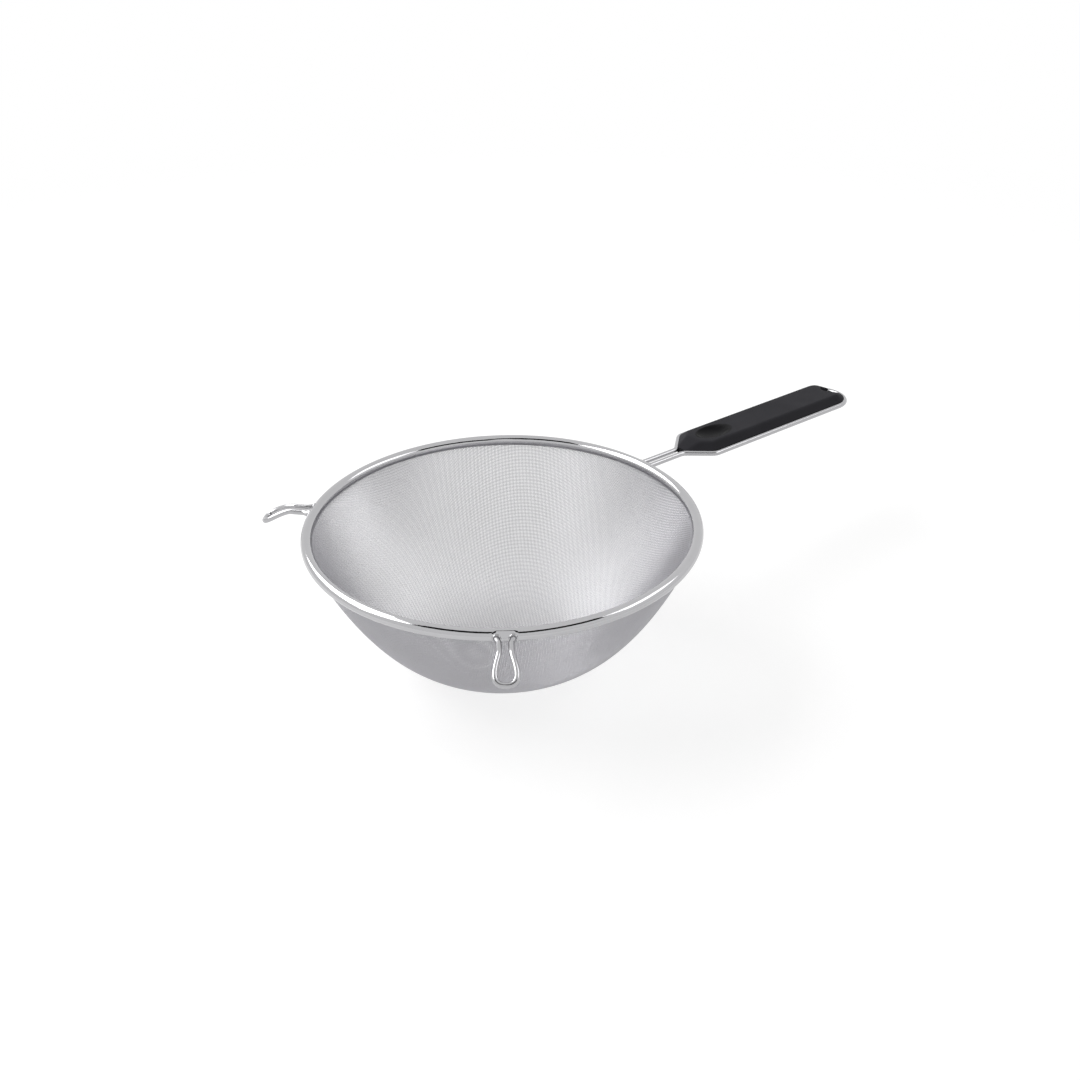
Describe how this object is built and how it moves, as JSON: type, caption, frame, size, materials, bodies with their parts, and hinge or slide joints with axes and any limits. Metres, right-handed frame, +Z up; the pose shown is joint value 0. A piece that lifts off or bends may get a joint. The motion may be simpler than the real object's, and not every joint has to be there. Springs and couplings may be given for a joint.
{
  "type": "fine mesh strainer",
  "caption": "Round fine mesh strainer: woven wire bowl in a rolled steel rim, wire rest loops, and a wire frame handle with a dark moulded grip and hanging eye.",
  "frame": {"origin": "under the middle of the part's box, at the height of the bowl's lowest point", "axes": "+X from the bowl along the handle, +Z up through the bowl's mouth, +Y to the left looking along the handle"},
  "size_m": [0.3608, 0.2018, 0.0795],
  "materials": {
    "wire_cloth": "woven, satin",
    "polished_steel": "polished",
    "steel_wire": "bright drawn",
    "grip_plastic": "fine matte"
  },
  "bodies": {
    "root": {"mesh_bowl": "wire_cloth", "rim_hoop": "polished_steel", "handle_frame": "steel_wire", "grip": "grip_plastic", "rest_loop_left": "steel_wire", "rest_loop_right": "steel_wire"}
  },
  "joints": []
}
